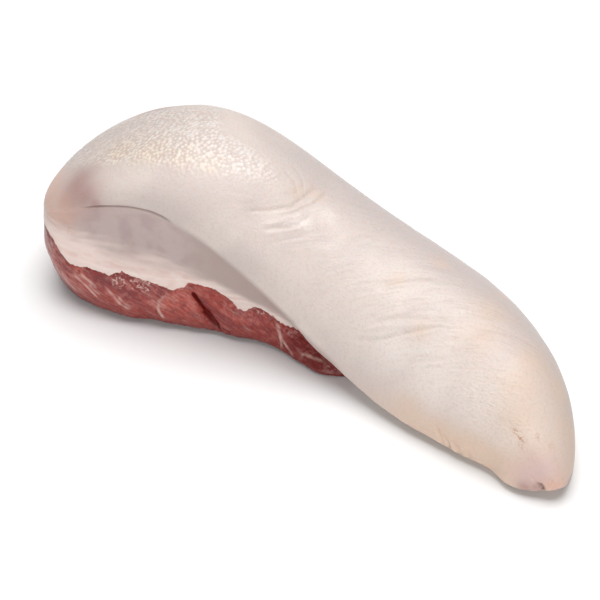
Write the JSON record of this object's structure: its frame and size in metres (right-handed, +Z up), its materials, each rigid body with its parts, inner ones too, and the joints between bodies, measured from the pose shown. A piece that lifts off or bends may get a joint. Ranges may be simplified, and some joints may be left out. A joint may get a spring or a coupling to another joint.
{
  "type": "veal tongue",
  "caption": "Raw veal tongue lying on its underside: humped back with pale skin, free blade with a rounded tip, and red root muscle below a cut skin edge.",
  "frame": {"origin": "middle of the bounding box at its base, on the surface that the tongue lies on", "axes": "+X along the tongue from the cut root towards the tip, +Z up from the surface it lies on, -Y towards the shown side"},
  "size_m": [0.2678, 0.1036, 0.0866],
  "materials": {
    "tongue_flesh": "moist pale skin over raw red muscle"
  },
  "bodies": {
    "root": {"tongue": "tongue_flesh"}
  },
  "joints": []
}
